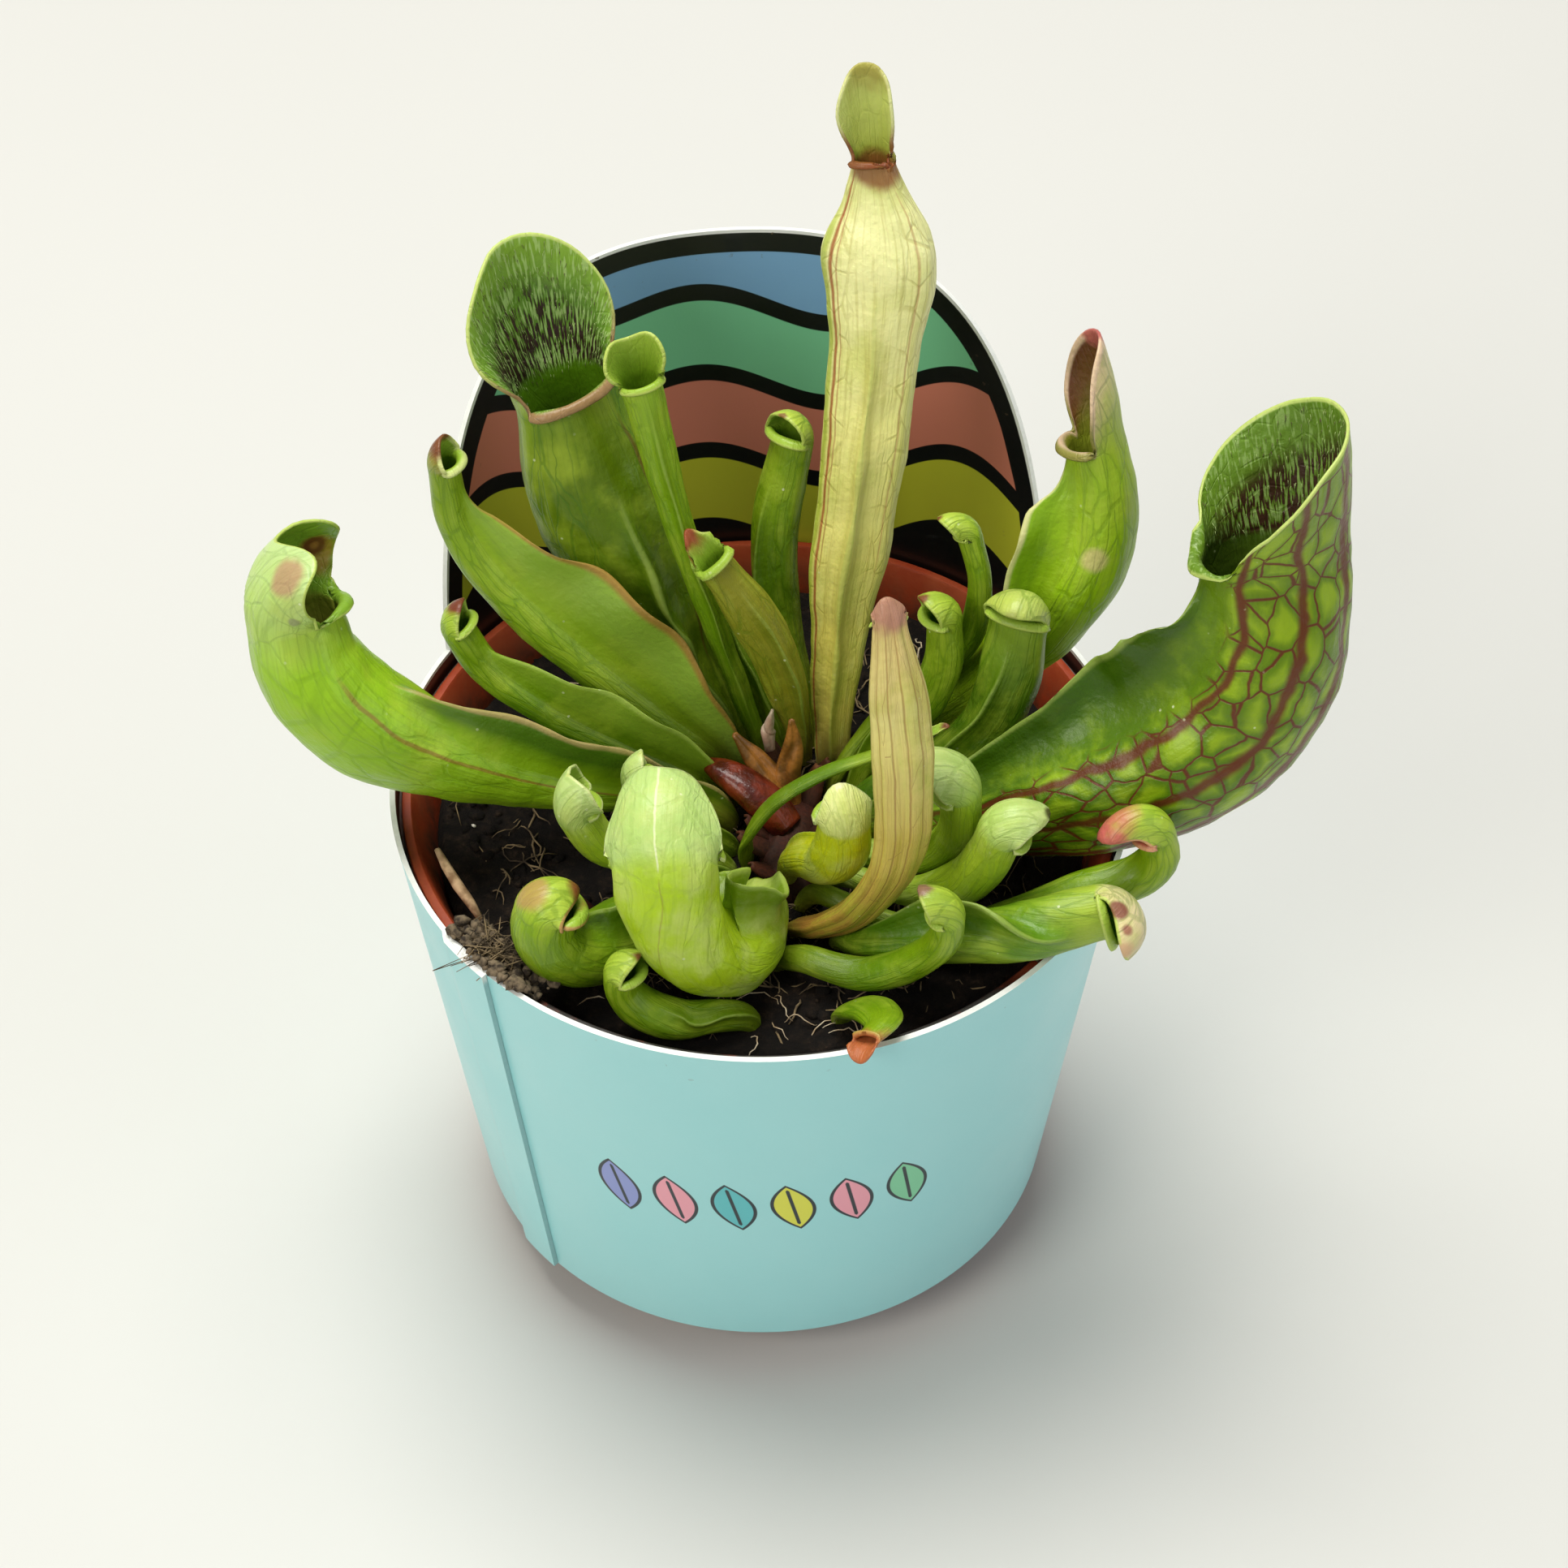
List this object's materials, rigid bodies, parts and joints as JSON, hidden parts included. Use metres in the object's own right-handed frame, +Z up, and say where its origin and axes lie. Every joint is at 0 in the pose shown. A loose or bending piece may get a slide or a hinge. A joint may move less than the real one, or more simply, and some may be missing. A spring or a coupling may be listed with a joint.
{
  "type": "potted trumpet pitcher plant",
  "caption": "Young trumpet pitcher plant with tubular hooded leaves, rooted in peat in a small plastic pot inside a card sleeve with a tall rounded back panel.",
  "frame": {"origin": "centre of the pot's base, on the surface it stands on", "axes": "+Z up, +Y towards the sleeve's tall back panel, +X to the right seen from the low front"},
  "size_m": [0.1354, 0.1035, 0.1604],
  "materials": {
    "pot_plastic": "thin moulded plastic, terracotta brown",
    "printed_card": "coated printed card, turquoise outside and white inside",
    "peat": "damp loose peat with fibres",
    "dry_crown": "dry brown bracts",
    "green_leaf": "smooth waxy leaf",
    "yellow_leaf": "smooth waxy leaf, pale yellow",
    "amber_leaf": "smooth waxy leaf, amber with pink stripes",
    "pale_leaf": "smooth waxy leaf, pale yellow-green",
    "veined_leaf": "smooth waxy leaf with maroon veins",
    "olive_leaf": "smooth waxy leaf, olive with a dry tip"
  },
  "bodies": {
    "root": {"grow_pot": "pot_plastic", "card_sleeve": "printed_card", "soil": "peat", "crown": "dry_crown", "pitcher_tall_hooded": "green_leaf", "pitcher_slim_lidded": "green_leaf", "leaf_slim_back": "green_leaf", "pitcher_back_hooked": "green_leaf", "pitcher_olive_pointed": "olive_leaf", "pitcher_tall_yellow": "yellow_leaf", "pitcher_left_winged": "green_leaf", "pitcher_left_hooked": "green_leaf", "pitcher_left_arching": "green_leaf", "pitcher_right_upright": "green_leaf", "young_pitcher_right_thin": "green_leaf", "young_pitcher_right_round": "green_leaf", "pitcher_right_dark": "green_leaf", "pitcher_big_veined": "veined_leaf", "pitcher_centre_amber": "amber_leaf", "young_pitcher_front_round": "pale_leaf", "young_pitcher_mitten": "green_leaf", "young_pitcher_pale_beak": "green_leaf", "young_pitcher_red_tip": "green_leaf", "pitcher_right_broad": "green_leaf", "young_pitcher_front_arched": "green_leaf", "pitcher_front_pale": "pale_leaf", "pitcher_front_curled": "green_leaf", "young_pitcher_front_low": "green_leaf", "young_pitcher_left_lobed": "green_leaf", "young_pitcher_left_small": "green_leaf", "leaf_front_strip": "green_leaf", "leaf_centre_arc": "green_leaf"}
  },
  "joints": []
}
